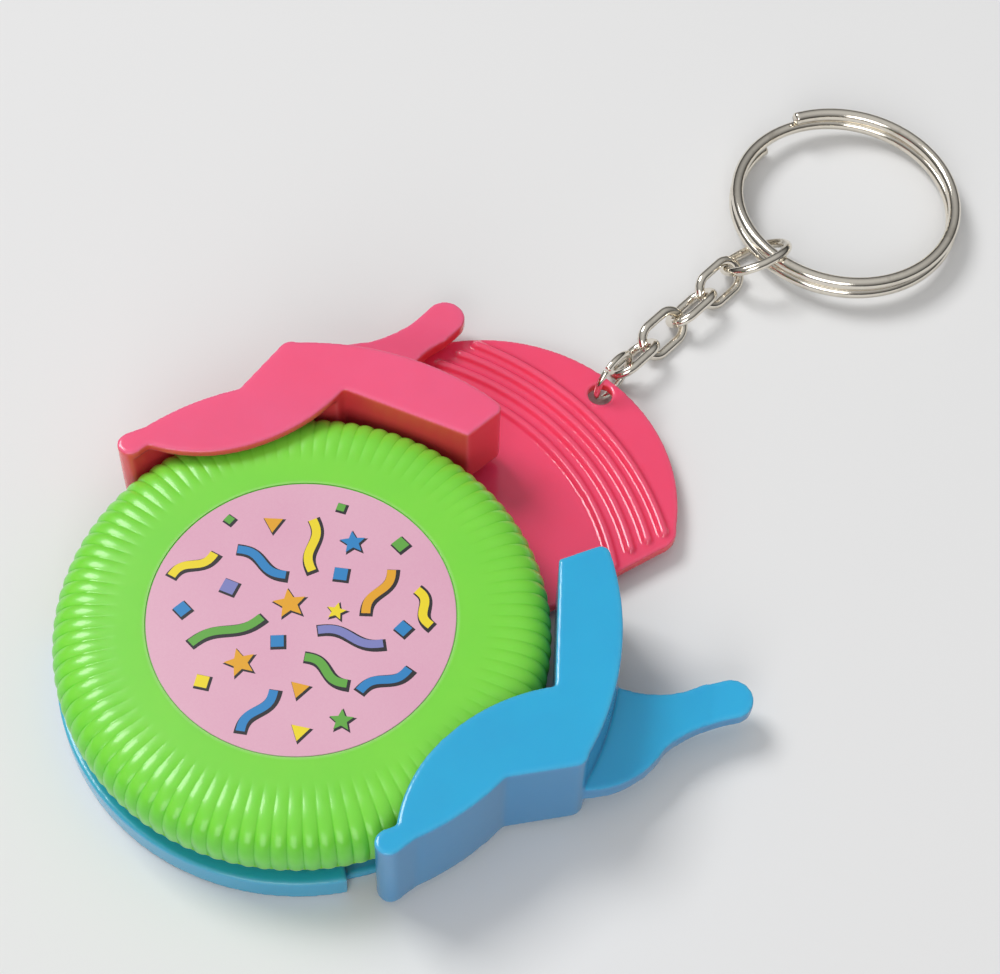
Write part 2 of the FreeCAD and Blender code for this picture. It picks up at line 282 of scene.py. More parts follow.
class Shader(Graph):
    """A material under construction around one Principled shader."""

    def __init__(self, name: str) -> None:
        """Start a material with an output and a Principled shader.

        Args:
            name: the material's name.
        """
        self.material = bpy.data.materials.new(name)
        self.material.use_nodes = True
        super().__init__(self.material.node_tree)
        self.surface = self.add("ShaderNodeBsdfPrincipled", {}, {})
        light = Socket(self, self.surface.outputs["BSDF"])
        self.add("ShaderNodeOutputMaterial", {}, {"Surface": light})

    def set(self, **values: Value) -> None:
        """Set inputs of the Principled shader.

        Args:
            values: the inputs by name, with underscores for spaces.
        """
        for name, value in values.items():
            self.feed(self.surface.inputs[name.replace("_", " ")], value)

    def place(self) -> Socket:
        """Give the point in the toy's own frame, in metres."""
        return self.node("ShaderNodeTexCoord", {}, {}, "Object")

    def noise(self, size: float, detail: float = 2.0, rough: float = 0.5) -> Socket:
        """Give cloudy noise, 0 to 1.

        Args:
            size: how large one cloud is, in metres.
            detail: octaves.
            rough: how strong the small octaves are.

        Returns:
            The noise.
        """
        return self.node(
            "ShaderNodeTexNoise",
            {},
            {"Vector": self.place(), "Scale": 1 / size, "Detail": detail, "Roughness": rough},
        )

    def mix(self, amount: Value, first: Value, second: Value) -> Socket:
        """Mix two colours.

        Args:
            amount: 0 for the first, 1 for the second.
            first: a colour.
            second: a colour.

        Returns:
            The mixed colour.
        """
        return self.node(
            "ShaderNodeMix", {"data_type": "RGBA"}, {0: amount, 6: first, 7: second}, 2
        )

    def bump(self, height: Socket, depth: float, under: Union[Socket, None] = None) -> Socket:
        """Turn a height into a normal.

        Args:
            height: 0 to 1.
            depth: what 1 stands for, in metres.
            under: a normal that this one lies on.

        Returns:
            The normal.
        """
        inputs: dict[Union[str, int], Value] = {
            "Height": height,
            "Distance": depth,
            "Strength": 1.0,
        }
        if under is not None:
            inputs["Normal"] = under
        return self.node("ShaderNodeBump", {}, inputs)

    def rise(self) -> Socket:
        """Give how far the surface looks up in the piece's own frame, -1 to 1."""
        way = self.node("ShaderNodeTexCoord", {}, {}, "Normal")
        return self.node("ShaderNodeSeparateXYZ", {}, {"Vector": way}, "Z")

    def measured(self, name: str) -> Socket:
        """Give a value that mark_curvature stored on the mesh, or 0 where there is none.

        Args:
            name: the value's name.

        Returns:
            The value.
        """
        settings = {"attribute_type": "GEOMETRY", "attribute_name": name}
        return self.node("ShaderNodeAttribute", settings, {}, "Fac")


# ---- finishes ---------------------------------------------------------------


@dataclass(frozen=True)
class MouldedPlastic:
    """Coloured plastic straight from a polished mould.

    Args:
        name: the material's name.
        face: colour on the open faces.
        deep: colour where the plastic is thick or dirty.
        wall: colour of the upright walls, which are seen through their length.
        glow: how much light passes below the surface.
        gloss: roughness of the polished skin.
        sinks: centres of the shallow sink marks over thick places.
        sink_radius: of one sink mark.
        sink_depth: of one sink mark.
        cloud: size of the slow colour clouds.
        grain: size of the fine grain.
        cloud_height: of the mould's slow waviness.
        grain_height: of the fine grain.
        reach: how far light travels below the surface.
        pale: how much paler ridges and convex edges are painted, a painted highlight, 0 to 1.
    """

    name: str
    face: Colour
    deep: Colour
    wall: Colour
    glow: float = 0.25
    gloss: float = 0.2
    sinks: tuple[tuple[float, float, float], ...] = ()
    sink_radius: float = 1.6 * MM
    sink_depth: float = 0.025 * MM
    cloud: float = 9 * MM
    grain: float = 0.35 * MM
    cloud_height: float = 0.05 * MM
    grain_height: float = 0.0015 * MM
    reach: float = 1.6 * MM
    pale: float = 0.22

    def material(self) -> bpy.types.Material:
        """Build the material."""
        shader = Shader(self.name)
        flow = shader.noise(self.cloud, 3.0)
        speck = shader.noise(self.grain, 4.0, 0.7)
        hollow = shader.measured(HOLLOW)
        # Painted highlight: ridges and convex edges are mixed towards a paler face colour.
        ridge_highlight = shader.measured(RIDGE)
        # Random tone clouds, plus painted shade: hollows and creases darken towards deep.
        body = shader.mix((flow * 0.5 + hollow * 0.6).clamped(0.0, 1.0), self.face, self.deep)
        # Painted light and shade: walls, picked by how little their normal looks up, take the wall
        # colour.
        upright = ((1.0 - shader.rise() * shader.rise() - 0.35) * 1.5).clamped(0.0, 0.8)
        body = shader.mix(upright, body, self.wall)
        pale = tuple(channel + (1 - channel) * self.pale for channel in self.face)
        gloss = self.gloss + (speck - 0.5) * 0.12 + (flow - 0.5) * 0.14
        shader.set(
            Base_Color=shader.mix(ridge_highlight * (0.35 + 0.4 * speck), body, pale),
            Roughness=gloss.clamped(0.05, 0.7),
            Normal=self._skin(shader, flow, speck),
            IOR=1.49,
            Subsurface_Weight=self.glow,
            Subsurface_Scale=self.reach,
            Subsurface_Radius=tuple(0.25 + channel for channel in self.face),
            Coat_Weight=0.25,
            Coat_Roughness=0.06,
        )
        return shader.material

    def _skin(self, shader: Shader, flow: Socket, speck: Socket) -> Socket:
        """Give the normal: slow mould waviness, fine grain and the sink marks.

        Args:
            shader: the material being built.
            flow: slow noise.
            speck: fine noise.

        Returns:
            The normal.
        """
        normal = shader.bump(flow, self.cloud_height)
        normal = shader.bump(speck, self.grain_height, normal)
        for centre in self.sinks:
            away = shader.node(
                "ShaderNodeVectorMath",
                {"operation": "DISTANCE"},
                {0: shader.place(), 1: centre},
                "Value",
            )
            near = (away / self.sink_radius).clamped(0.0, 1.0)
            dish = near * near * (3.0 - 2.0 * near)
            normal = shader.bump(dish, self.sink_depth, normal)
        return normal


@dataclass(frozen=True)
class WireMetal:
    """Plated or plain steel with fine drawing marks.

    Args:
        name: the material's name.
        face: colour of the metal.
        dull: colour of tarnish and fingerprints.
        gloss: roughness.
        cloud: size of the smears.
        grain: size of the drawing marks.
        grain_height: of the drawing marks.
    """

    name: str
    face: Colour
    dull: Colour
    gloss: float = 0.16
    cloud: float = 2.2 * MM
    grain: float = 0.12 * MM
    grain_height: float = 0.004 * MM

    def material(self) -> bpy.types.Material:
        """Build the material."""
        shader = Shader(self.name)
        smear = shader.noise(self.cloud, 4.0, 0.6)
        grain = shader.noise(self.grain, 3.0, 0.6)
        hollow = shader.measured(HOLLOW)
        stain = ((smear - 0.55) * 3.0 + hollow * 0.5).clamped(0.0, 1.0)
        shader.set(
            Base_Color=shader.mix(stain * 0.7, self.face, self.dull),
            Metallic=1.0,
            Roughness=(self.gloss + stain * 0.12 + (grain - 0.5) * 0.1).clamped(0.04, 0.8),
            Normal=shader.bump(grain, self.grain_height),
        )
        return shader.material


@dataclass(frozen=True)
class PrintedFilm:
    """Ink on a thin glossy film.

    Args:
        name: the material's name.
        face: colour of the print.
        shade: colour of its slow drift across the film.
        ripple: height of the film's waviness.
        cloud: size of the slow drift.
        dot: size of the print's dots.
        dot_height: of the dots.
    """

    name: str
    face: Colour
    shade: Colour
    ripple: float = 0.02 * MM
    cloud: float = 14 * MM
    dot: float = 0.22 * MM
    dot_height: float = 0.002 * MM

    def material(self) -> bpy.types.Material:
        """Build the material."""
        shader = Shader(self.name)
        drift = shader.noise(self.cloud, 2.0)
        dots = shader.noise(self.dot, 2.0, 0.8)
        shaded = (drift * 0.8 + (dots - 0.5) * 0.5).clamped(0.0, 1.0)
        shader.set(
            Base_Color=shader.mix(shaded, self.face, self.shade),
            Roughness=(0.36 + (dots - 0.5) * 0.14 + (drift - 0.5) * 0.1).clamped(0.1, 0.8),
            Normal=shader.bump(dots, self.dot_height, shader.bump(drift, self.ripple)),
            IOR=1.46,
            Coat_Weight=0.3,
            Coat_Roughness=0.12,
        )
        return shader.material


@dataclass(frozen=True)
class TableTop:
    """Pale matt board that the toy stands on.

    Args:
        name: the material's name.
        face: its colour.
        shade: brightness of its slow clouds, against the face.
        cloud: size of the clouds.
    """

    name: str = "pale_board"
    face: Colour = (0.80, 0.80, 0.80)
    shade: float = 0.96
    cloud: float = 60 * MM

    def material(self) -> bpy.types.Material:
        """Build the material."""
        shader = Shader(self.name)
        cloud = shader.noise(self.cloud, 2.0)
        shade = tuple(channel * self.shade for channel in self.face)
        shader.set(
            Base_Color=shader.mix(cloud * 0.25, self.face, shade),
            Roughness=0.85,
        )
        return shader.material


Finish = Union[MouldedPlastic, WireMetal, PrintedFilm, TableTop]


@cache
def material_of(finish: Finish) -> bpy.types.Material:
    """Give a finish's material, built once and then shared.

    Args:
        finish: the finish.

    Returns:
        Its material.
    """
    return finish.material()


class Slot(Enum):
    """The record's finish slots."""

    PINK = "pink_plastic"
    BLUE = "blue_plastic"
    GREEN = "green_plastic"
    LABEL = "label_print"
    CHAIN = "chain_steel"
    SHAFT = "shaft_steel"
    SPRING = "spring_steel"


PINK_SINKS = ((21.5 * MM, 14.6 * MM, 12.0 * MM), (24.0 * MM, 11.0 * MM, 12.0 * MM))
BLUE_SINKS = ((12.0 * MM, -23.3 * MM, 12.0 * MM), (15.6 * MM, -21.8 * MM, 12.0 * MM))
PINK_CLAW = MouldedPlastic(
    name="pink_claw_plastic",
    face=linear(250, 98, 142),
    deep=linear(240, 66, 104),
    wall=linear(240, 66, 60),
    glow=0.35,
    gloss=0.2,
    sinks=PINK_SINKS,
)
PINK_FAN = MouldedPlastic(
    name="pink_fan_plastic",
    face=linear(252, 78, 120),
    deep=linear(240, 52, 88),
    wall=linear(236, 58, 60),
    glow=0.35,
    gloss=0.13,
)
BLUE_CLAW = MouldedPlastic(
    name="blue_claw_plastic",
    face=linear(36, 182, 228),
    deep=linear(26, 140, 200),
    wall=linear(72, 132, 184),
    glow=0.3,
    gloss=0.2,
    sinks=BLUE_SINKS,
)
BLUE_BASE = MouldedPlastic(
    name="blue_base_plastic",
    face=linear(44, 178, 208),
    deep=linear(34, 140, 180),
    wall=linear(58, 164, 206),
    glow=0.3,
    gloss=0.22,
)
GREEN_DISC = MouldedPlastic(
    name="green_disc_plastic",
    face=linear(136, 226, 66),
    deep=linear(92, 206, 34),
    wall=linear(98, 206, 40),
    glow=0.45,
    gloss=0.32,
)
KEY_METAL = WireMetal("nickel_wire", (0.80, 0.75, 0.66), (0.45, 0.39, 0.31), 0.12)
SHAFT_METAL = WireMetal("turned_steel", (0.56, 0.56, 0.57), (0.34, 0.33, 0.32), 0.28)
SPRING_METAL = WireMetal("spring_wire", (0.42, 0.41, 0.41), (0.22, 0.2, 0.18), 0.32)
LABEL_FILM = PrintedFilm("pink_label_film", linear(230, 182, 200), linear(218, 152, 182))


class Ink(Enum):
    """Colours printed on the label."""

    BLACK = linear(30, 26, 34)
    GREEN = linear(98, 172, 64)
    YELLOW = linear(246, 222, 30)
    BLUE = linear(36, 134, 200)
    ORANGE = linear(236, 170, 28)
    LILAC = linear(128, 132, 196)

    def film(self) -> PrintedFilm:
        """Give the finish of this ink."""
        drift = tuple(channel * 0.85 for channel in self.value)
        return PrintedFilm(f"ink_{self.name.lower()}", self.value, drift, 0.0)


# ---- mesh building ----------------------------------------------------------


def new_piece(
    name: str,
    mesh: Union[bmesh.types.BMesh, bpy.types.Mesh],
    materials: Iterable[bpy.types.Material],
) -> bpy.types.Object:
    """Put a mesh in the scene with its materials.

    Args:
        name: the piece's name.
        mesh: a mesh, or a bmesh that is used up.
        materials: its materials in order.

    Returns:
        The object.
    """
    if isinstance(mesh, bmesh.types.BMesh):
        bmesh.ops.recalc_face_normals(mesh, faces=mesh.faces)
        data = bpy.data.meshes.new(name)
        mesh.to_mesh(data)
        mesh.free()
    else:
        data = mesh
    for material in materials:
        data.materials.append(material)
    piece = bpy.data.objects.new(name, data)
    bpy.context.scene.collection.objects.link(piece)
    return piece


def smooth(piece: bpy.types.Object, angle: float = 40.0) -> None:
    """Shade a piece smooth, apart from edges sharper than an angle.

    Args:
        piece: the object.
        angle: in degrees.
    """
    data = piece.data
    data.shade_smooth()
    data.set_sharp_from_angle(angle=math.radians(angle))


def mark_curvature(piece: bpy.types.Object, reach: float = 0.35) -> None:
    """Store on a mesh how hollow or how ridged each point is, 0 to 1.

    Args:
        piece: the object, its mesh final.
        reach: rise of a point over its neighbours, per edge length, that counts as 1.
    """
    data = piece.data
    count = len(data.vertices)
    places = np.zeros(count * 3)
    normals = np.zeros(count * 3)
    ends = np.zeros(len(data.edges) * 2, dtype=np.int64)
    data.vertices.foreach_get("co", places)
    data.vertices.foreach_get("normal", normals)
    data.edges.foreach_get("vertices", ends)
    places, normals, ends = places.reshape(-1, 3), normals.reshape(-1, 3), ends.reshape(-1, 2)
    rise, length = np.zeros(count), np.zeros(count)
    for first, second in ((0, 1), (1, 0)):
        here, there = ends[:, first], ends[:, second]
        away = places[there] - places[here]
        np.add.at(rise, here, -(away * normals[here]).sum(1))
        np.add.at(length, here, np.linalg.norm(away, axis=1))
    bend = rise / np.maximum(length, 1e-12) / reach
    for name, values in ((HOLLOW, -bend), (RIDGE, bend)):
        store = data.attributes.new(name, "FLOAT", "POINT")
        store.data.foreach_set("value", np.clip(values, 0.0, 1.0).astype(np.float32))


def evaluated(piece: bpy.types.Object) -> bpy.types.Mesh:
    """Give the mesh that a piece's modifiers make, and drop the piece.

    Args:
        piece: the object.

    Returns:
        The mesh.
    """
    bpy.context.view_layer.update()
    graph = bpy.context.evaluated_depsgraph_get()
    mesh = bpy.data.meshes.new_from_object(piece.evaluated_get(graph))
    bpy.data.objects.remove(piece)
    return mesh


def ring_strip(
    work: bmesh.types.BMesh, rings: Sequence[Sequence[bmesh.types.BMVert]], closed: bool
) -> None:
    """Join rings of vertices with quads.

    Args:
        work: the mesh.
        rings: rings with as many vertices each.
        closed: whether the last ring joins the first.
    """
    count = len(rings[0])
    pairs = list(zip(rings, rings[1:]))
    if closed:
        pairs.append((rings[-1], rings[0]))
    for first, second in pairs:
        for index in range(count):
            after = (index + 1) % count
            work.faces.new((first[index], first[after], second[after], second[index]))


def swept_wire(
    points: Sequence[Vector], radius: float, closed: bool, sides: int = 20, ease: float = 0.3
) -> bmesh.types.BMesh:
    """Sweep a round wire along a line.

    Args:
        points: the centreline.
        radius: of the wire.
        closed: whether the line is a loop.
        sides: points round the wire.
        ease: bevel of an open end, against the radius.

    Returns:
        The wire's mesh, with bevelled ends where it is open.
    """
    work = bmesh.new()
    count = len(points)
    tangents = []
    for index in range(count):
        before = points[index - 1] if closed or index > 0 else points[index]
        after = points[(index + 1) % count] if closed or index < count - 1 else points[index]
        tangents.append((after - before).normalized())
    side = tangents[0].orthogonal().normalized()
    frames = []
    for index in range(count):
        side = (side - tangents[index] * side.dot(tangents[index])).normalized()
        frames.append((points[index], tangents[index], side.copy(), radius))
    drift = 0.0
    if closed:
        last = (side - tangents[0] * side.dot(tangents[0])).normalized()
        first = frames[0][2]
        drift = math.atan2(last.cross(first).dot(tangents[0]), last.dot(first))
    else:
        bevel = ease * radius
        start, end = frames[0], frames[-1]
        frames[0] = (start[0] + start[1] * bevel, *start[1:])
        frames[-1] = (end[0] - end[1] * bevel, *end[1:])
        frames.insert(0, (start[0], start[1], start[2], radius - bevel))
        frames.append((end[0], end[1], end[2], radius - bevel))
    rings = []
    for index, (centre, tangent, across, size) in enumerate(frames):
        twist = Matrix.Rotation(drift * index / len(frames), 3, tangent)
        across = twist @ across
        up = tangent.cross(across)
        rings.append([
            work.verts.new(centre + (across * math.cos(turn) + up * math.sin(turn)) * size)
            for turn in (2 * math.pi * step / sides for step in range(sides))
        ])
    ring_strip(work, rings, closed)
    if not closed:
        work.faces.new(reversed(rings[0]))
        work.faces.new(rings[-1])
    return work


def slab(
    work: bmesh.types.BMesh, outline: Sequence[Point], low: float, high: float, slot: int
) -> None:
    """Add a thin flat piece.

    Args:
        work: the mesh.
        outline: corners from above.
        low: underside.
        high: top side.
        slot: material index.
    """
    top = [work.verts.new((x, y, high)) for x, y in outline]
    bottom = [work.verts.new((x, y, low)) for x, y in outline]
    faces = [work.faces.new(top), work.faces.new(list(reversed(bottom)))]
    for index in range(len(outline)):
        after = (index + 1) % len(outline)
        faces.append(work.faces.new((top[index], bottom[index], bottom[after], top[after])))
    for face in faces:
        face.material_index = slot


# ---- mouldings --------------------------------------------------------------


@dataclass
class Moulding:
    """A rigid plastic moulding with every edge softened as a mould leaves it.

    Args:
        node: the part that gives its shape.
        body: what it rides on.
        slot: the record's finish slot; not used.
        plastic: its finish.
        grid: size of the skin's mesh.
        rounds: how many times its edges are eased.
        weld: distance within which corners are joined.
    """

    node: str
    body: str
    slot: Slot
    plastic: MouldedPlastic
    grid: float = 0.17 * MM
    rounds: int = 9
    weld: float = 0.001 * MM

    def build(self, frame: dict) -> bpy.types.Object:
        """Make the moulding from its part's shape.


        Returns:
            The piece.
        """
        work = bmesh.new()
        work.from_mesh(frame["nodes"][self.node].data)
        bmesh.ops.remove_doubles(work, verts=work.verts, dist=self.weld)
        blank = new_piece(f"{self.node}_blank", work, [])
        skin = blank.modifiers.new("skin", "REMESH")
        skin.mode = "VOXEL"
        skin.voxel_size = self.grid
        ease = blank.modifiers.new("ease", "SMOOTH")
        ease.factor = 0.5
        ease.iterations = self.rounds
        mesh = evaluated(blank)
        mesh.materials.clear()
        piece = new_piece(f"{self.node}_moulding", mesh, [material_of(self.plastic)])
        mesh.shade_smooth()
        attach(piece, self.body)
        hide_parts(self.node)
        return piece


@dataclass
class RibbedDisc:
    """The green disc: flat crown, ribs that deepen over the shoulder, hollow inside.

    Args:
        ribs: how many ribs go round.
        rib_depth: depth of the valleys at the rim.
        rib_start: radius where the ribs begin to rise.
        wall: thickness of the shell.
        bore: radius of the bearing.
        hub: outer radius of the bearing boss.
        seat: radius of the recess over the screw.
        label_radius: of the recess that takes the label.
        label_depth: of that recess.
        crown: radius where the flat crown turns into the shoulder.
        samples: mesh points for one rib.
        rib_full: radius from which the valleys have their full depth.
        rib_onset: how late the ribs gather depth.
        rib_round: how round the ribs are.
        rib_turn: how far a valley turns from downwards to inwards at the rim, 0 to 1.
        fall: height of the shoulder.
        square: how square the shoulder is.
        draft: how much narrower the rim is at its foot.
        skirt: height of the straight wall inside.
        slope_radius: where that wall starts to slope in.
        slope_fall: how far the slope lies below the ceiling.
        ceiling_radius: where the ceiling inside is flat.
        boss_foot: height of the boss's lower end.
        flat_steps: mesh points across the crown.
        bend_steps: mesh points over the shoulder.
        drop_steps: mesh points down the rim.
    """

    ribs: int = 98
    rib_depth: float = 0.24 * MM
    rib_start: float = 17.2 * MM
    wall: float = 1.2 * MM
    bore: float = 2.05 * MM
    hub: float = 5.2 * MM
    seat: float = 3.8 * MM
    label_radius: float = 14.5 * MM
    label_depth: float = 0.12 * MM
    crown: float = 18.9 * MM
    samples: int = 12
    rib_full: float = 22.4 * MM
    rib_onset: float = 1.1
    rib_round: float = 0.75
    rib_turn: float = 0.8
    fall: float = 3.6 * MM
    square: float = 0.86
    draft: float = 0.1 * MM
    skirt: float = 1.7 * MM
    slope_radius: float = 21.1 * MM
    slope_fall: float = 0.9 * MM
    ceiling_radius: float = 19.0 * MM
    boss_foot: float = 7.4 * MM
    flat_steps: int = 14
    bend_steps: int = 22
    drop_steps: int = 6

    def outer_profile(self, radius: float, low: float, high: float) -> list[Point]:
        """Give the crown, shoulder and rim as (radius, height) from the label outwards.

        Args:
            radius: of the rim.
            low: height of the shell's lower edge.
            high: height of the crown.

        Returns:
            The profile.
        """
        crown_run, rim_top = self.crown - self.label_radius, high - self.fall
        flat = [
            (self.label_radius + crown_run * step / self.flat_steps, high)
            for step in range(self.flat_steps)
        ]
        bend = []
        for step in range(self.bend_steps):
            turn = math.pi / 2 * step / (self.bend_steps - 1)
            out = (radius - self.crown) * math.sin(turn) ** self.square
            bend.append((self.crown + out, high - self.fall * (1 - math.cos(turn) ** self.square)))
        drop = [
            (
                radius - self.draft * step / self.drop_steps,
                rim_top - (rim_top - low) * step / self.drop_steps,
            )
            for step in range(1, self.drop_steps + 1)
        ]
        return flat + bend + drop

    def inner_profile(self, radius: float, low: float, high: float) -> list[Point]:
        """Give the inside as (radius, height), from the rim's foot round to the label.

        Args:
            radius: of the rim.
            low: height of the shell's lower edge.
            high: height of the crown.

        Returns:
            The profile.
        """
        ceiling = high - self.wall
        inner = radius - self.draft - self.wall
        return [
            (inner, low),
            (inner, low + self.skirt),
            (self.slope_radius, ceiling - self.slope_fall),
            (self.ceiling_radius, ceiling),
            (self.hub, ceiling),
            (self.hub, self.boss_foot),
            (self.bore, self.boss_foot),
            (self.bore, ceiling),
            (self.seat, ceiling),
            (self.seat, high - self.label_depth),
            (self.label_radius, high - self.label_depth),
        ]

    def rib_height(self, turn: float) -> float:
        """Give how far the surface stands above the valleys at an angle.

        Args:
            turn: the angle.

        Returns:
            0 in a valley to 1 on a rib.
        """
        return abs(math.cos(self.ribs * turn / 2)) ** self.rib_round

    def valley(self, size: float, radius: float, on_rim: bool) -> Point:
        """Give how deep the valleys are at one radius.

        Args:
            size: that radius.
            radius: of the rim.
            on_rim: whether the place is on the rim, where they only go inwards.

        Returns:
            The depth inwards and the depth downwards.
        """
        share = (size - self.rib_start) / (self.rib_full - self.rib_start)
        depth = self.rib_depth * min(1.0, max(0.0, share)) ** self.rib_onset
        lean = min(1.0, max(0.0, (size - self.crown) / (radius - self.crown)))
        return depth * lean, 0.0 if on_rim else depth * (1 - lean * self.rib_turn)

    def build(self) -> bpy.types.Object:
        """Make the disc's upper shell.

        Returns:
            The piece.
        """
        low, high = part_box("disc_cover")
        radius = high.x
        outer = self.outer_profile(radius, low.z, high.z)
        inner = self.inner_profile(radius, low.z, high.z)
        first_on_rim = len(outer) - self.drop_steps
        valleys = [
            self.valley(size, radius, index >= first_on_rim)
            for index, (size, _) in enumerate(outer)
        ]
        valleys += [(0.0, 0.0)] * len(inner)
        count = self.ribs * self.samples
        turns = [2 * math.pi * step / count for step in range(count)]
        work = bmesh.new()
        rings = []
        for (size, height), (inwards, downwards) in zip(outer + inner, valleys):
            ring = []
            for turn in turns:
                cut = 1 - self.rib_height(turn)
                out = size - inwards * cut
                place = (out * math.cos(turn), out * math.sin(turn), height - downwards * cut)
                ring.append(work.verts.new(place))
            rings.append(ring)
        ring_strip(work, rings, True)
        piece = new_piece("ribbed_disc", work, [material_of(GREEN_DISC)])
        smooth(piece, 38)
        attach(piece, "disc")
        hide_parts("disc_cover")
        return piece


# ---- label ------------------------------------------------------------------


class Mark(Enum):
    """Kinds of confetti on the label."""

    STAR = 5
    TRIANGLE = 3
    SQUARE = 4
    SQUIGGLE = 0


# Shapes of the marks: the waist as a share of a star's radius, the ribbon in millimetres.
STAR_WAIST = 0.46
RIBBON_HALF = 0.42
RIBBON_SWING = 0.38
RIBBON_STEPS = 26


@dataclass(frozen=True)
class Confetto:
    """One printed mark.

    Args:
        mark: its kind.
        ink: its colour.
        at: place on the label in millimetres.
        size: radius, or length of a squiggle, in millimetres.
        turn: direction in degrees.
    """

    mark: Mark
    ink: Ink
    at: Point
    size: float
    turn: float = 0.0

    def outline(self, grow: float = 0.0) -> list[Point]:
        """Give the mark's corners, in metres, about its own centre.

        Args:
            grow: how much larger on each side, in millimetres.

        Returns:
            The corners.
        """
        if self.mark is Mark.SQUIGGLE:
            corners = self._squiggle(grow)
        else:
            corners = self._star(grow)
        angle = math.radians(self.turn)
        return [
            (
                (x * math.cos(angle) - y * math.sin(angle)) * MM,
                (x * math.sin(angle) + y * math.cos(angle)) * MM,
            )
            for x, y in corners
        ]

    def _star(self, grow: float) -> list[Point]:
        """Give a star's or a polygon's corners.

        Args:
            grow: how much larger on each side, in millimetres.

        Returns:
            The corners, in millimetres.
        """
        points = self.mark.value
        star = self.mark is Mark.STAR
        steps = points * 2 if star else points
        corners = []
        for step in range(steps):
            radius = (self.size + grow) * (STAR_WAIST if star and step % 2 else 1.0)
            angle = 2 * math.pi * step / steps + math.pi / 2
            corners.append((radius * math.cos(angle), radius * math.sin(angle)))
        return corners

    def _squiggle(self, grow: float) -> list[Point]:
        """Give a wavy ribbon's corners, over one wave.

        Args:
            grow: how much larger on each side, in millimetres.

        Returns:
            The corners, in millimetres.
        """
        width = RIBBON_HALF + grow
        span = self.size + 2 * grow
        upper, lower = [], []
        for step in range(RIBBON_STEPS + 1):
            share = step / RIBBON_STEPS
            phase = 2 * math.pi * share
            slope = RIBBON_SWING * math.cos(phase) * 2 * math.pi / self.size
            length = math.hypot(1, slope)
            x, y = (share - 0.5) * span, RIBBON_SWING * math.sin(phase)
            upper.append((x - slope / length * width, y + width / length))
            lower.append((x + slope / length * width, y - width / length))
        return upper + list(reversed(lower))


CONFETTI = (
    Confetto(Mark.SQUARE, Ink.GREEN, (-7.7, 10.0), 0.55, 10),
    Confetto(Mark.SQUARE, Ink.GREEN, (2.8, 11.9), 0.55, 30),
    Confetto(Mark.TRIANGLE, Ink.ORANGE, (-3.5, 9.8), 1.05, 180),
    Confetto(Mark.SQUIGGLE, Ink.YELLOW, (0.4, 7.6), 5.6, 94),
    Confetto(Mark.STAR, Ink.BLUE, (4.2, 8.1), 1.25, 8),
    Confetto(Mark.SQUARE, Ink.GREEN, (8.7, 8.1), 0.85, 0),
    Confetto(Mark.SQUIGGLE, Ink.YELLOW, (-10.6, 4.9), 4.6, 35),
    Confetto(Mark.SQUIGGLE, Ink.BLUE, (-4.2, 5.5), 5.4, -28),
    Confetto(Mark.SQUARE, Ink.BLUE, (3.3, 4.6), 0.9, 40),
    Confetto(Mark.SQUIGGLE, Ink.ORANGE, (7.0, 2.9), 5.2, 66),
    Confetto(Mark.SQUIGGLE, Ink.YELLOW, (11.3, 1.4), 4.0, -68),
    Confetto(Mark.SQUARE, Ink.LILAC, (-7.0, 2.7), 0.95, 24),
    Confetto(Mark.SQUARE, Ink.BLUE, (-11.1, 0.1), 0.85, 0),
    Confetto(Mark.STAR, Ink.ORANGE, (-1.2, 1.2), 1.6, 12),
    Confetto(Mark.STAR, Ink.YELLOW, (3.2, 0.6), 0.95, -10),
    Confetto(Mark.SQUARE, Ink.BLUE, (9.5, -0.9), 0.85, 5),
    Confetto(Mark.SQUIGGLE, Ink.GREEN, (-6.8, -1.9), 7.0, 26),
    Confetto(Mark.SQUARE, Ink.BLUE, (-2.0, -2.8), 0.85, 50),
    Confetto(Mark.SQUIGGLE, Ink.LILAC, (4.7, -2.0), 6.2, -10),
    Confetto(Mark.STAR, Ink.ORANGE, (-5.2, -5.2), 1.5, 20),
    Confetto(Mark.SQUIGGLE, Ink.GREEN, (2.7, -5.6), 4.8, -32),
    Confetto(Mark.SQUIGGLE, Ink.BLUE, (8.1, -6.3), 5.0, 30),
    Confetto(Mark.SQUARE, Ink.YELLOW, (-8.5, -7.3), 0.85, 35),
    Confetto(Mark.TRIANGLE, Ink.ORANGE, (0.4, -7.6), 1.0, 168),
    Confetto(Mark.SQUIGGLE, Ink.BLUE, (-3.2, -10.0), 5.0, 58),
    Confetto(Mark.TRIANGLE, Ink.YELLOW, (0.8, -11.9), 1.0, 170),
    Confetto(Mark.STAR, Ink.GREEN, (4.5, -10.6), 1.15, 0),
)


